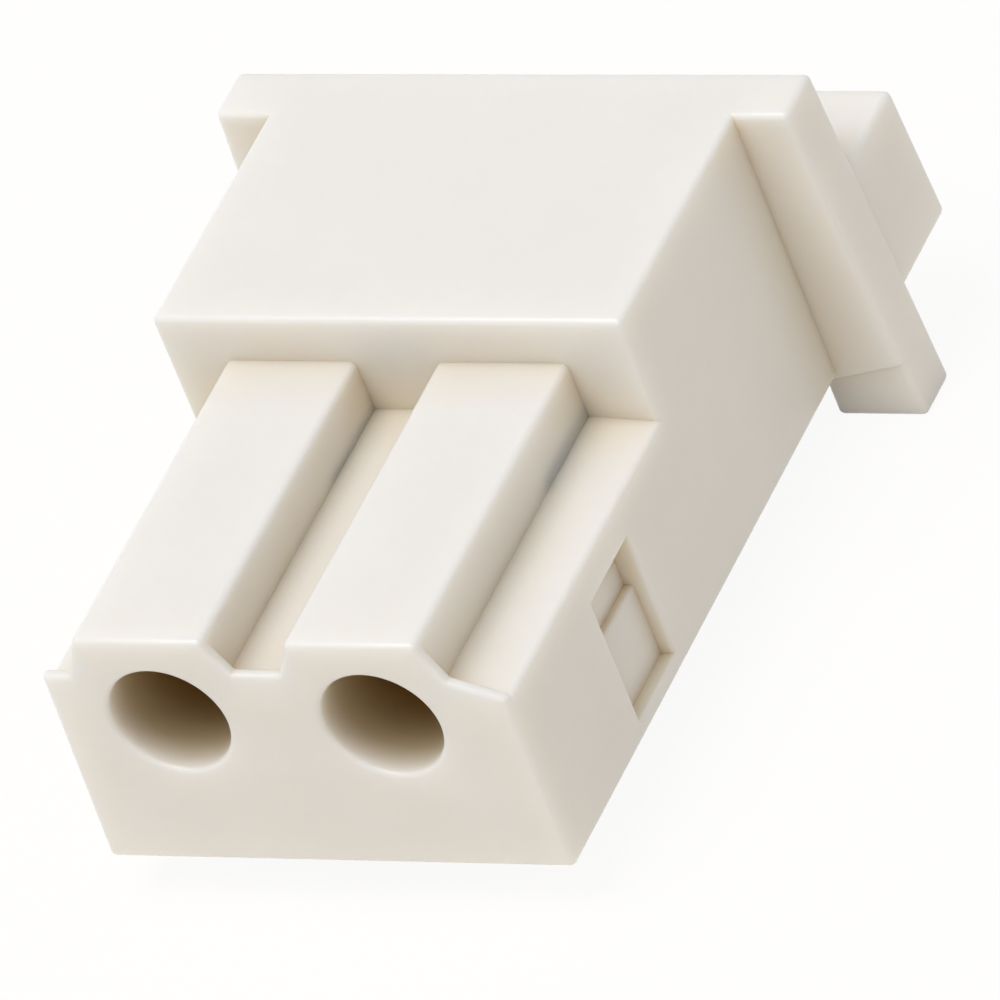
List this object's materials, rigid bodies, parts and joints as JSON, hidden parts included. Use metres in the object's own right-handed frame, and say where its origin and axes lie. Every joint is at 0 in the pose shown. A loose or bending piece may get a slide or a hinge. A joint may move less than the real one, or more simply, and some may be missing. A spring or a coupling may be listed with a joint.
{
  "type": "wire to board connector housing",
  "caption": "Stepped ivory plastic connector housing with round wire holes in one end face, ridges over them, a winged flange with feet and a flat mating nose.",
  "frame": {"origin": "middle of the row of wire holes, in the wire entry face", "axes": "+X across the row of circuits, +Y from the wire entry face towards the mating nose, +Z from the underside towards the ridges"},
  "size_m": [0.0073, 0.0095, 0.0042],
  "materials": {
    "housing": "satin, natural ivory nylon"
  },
  "bodies": {
    "root": {"housing": "housing"}
  },
  "joints": []
}
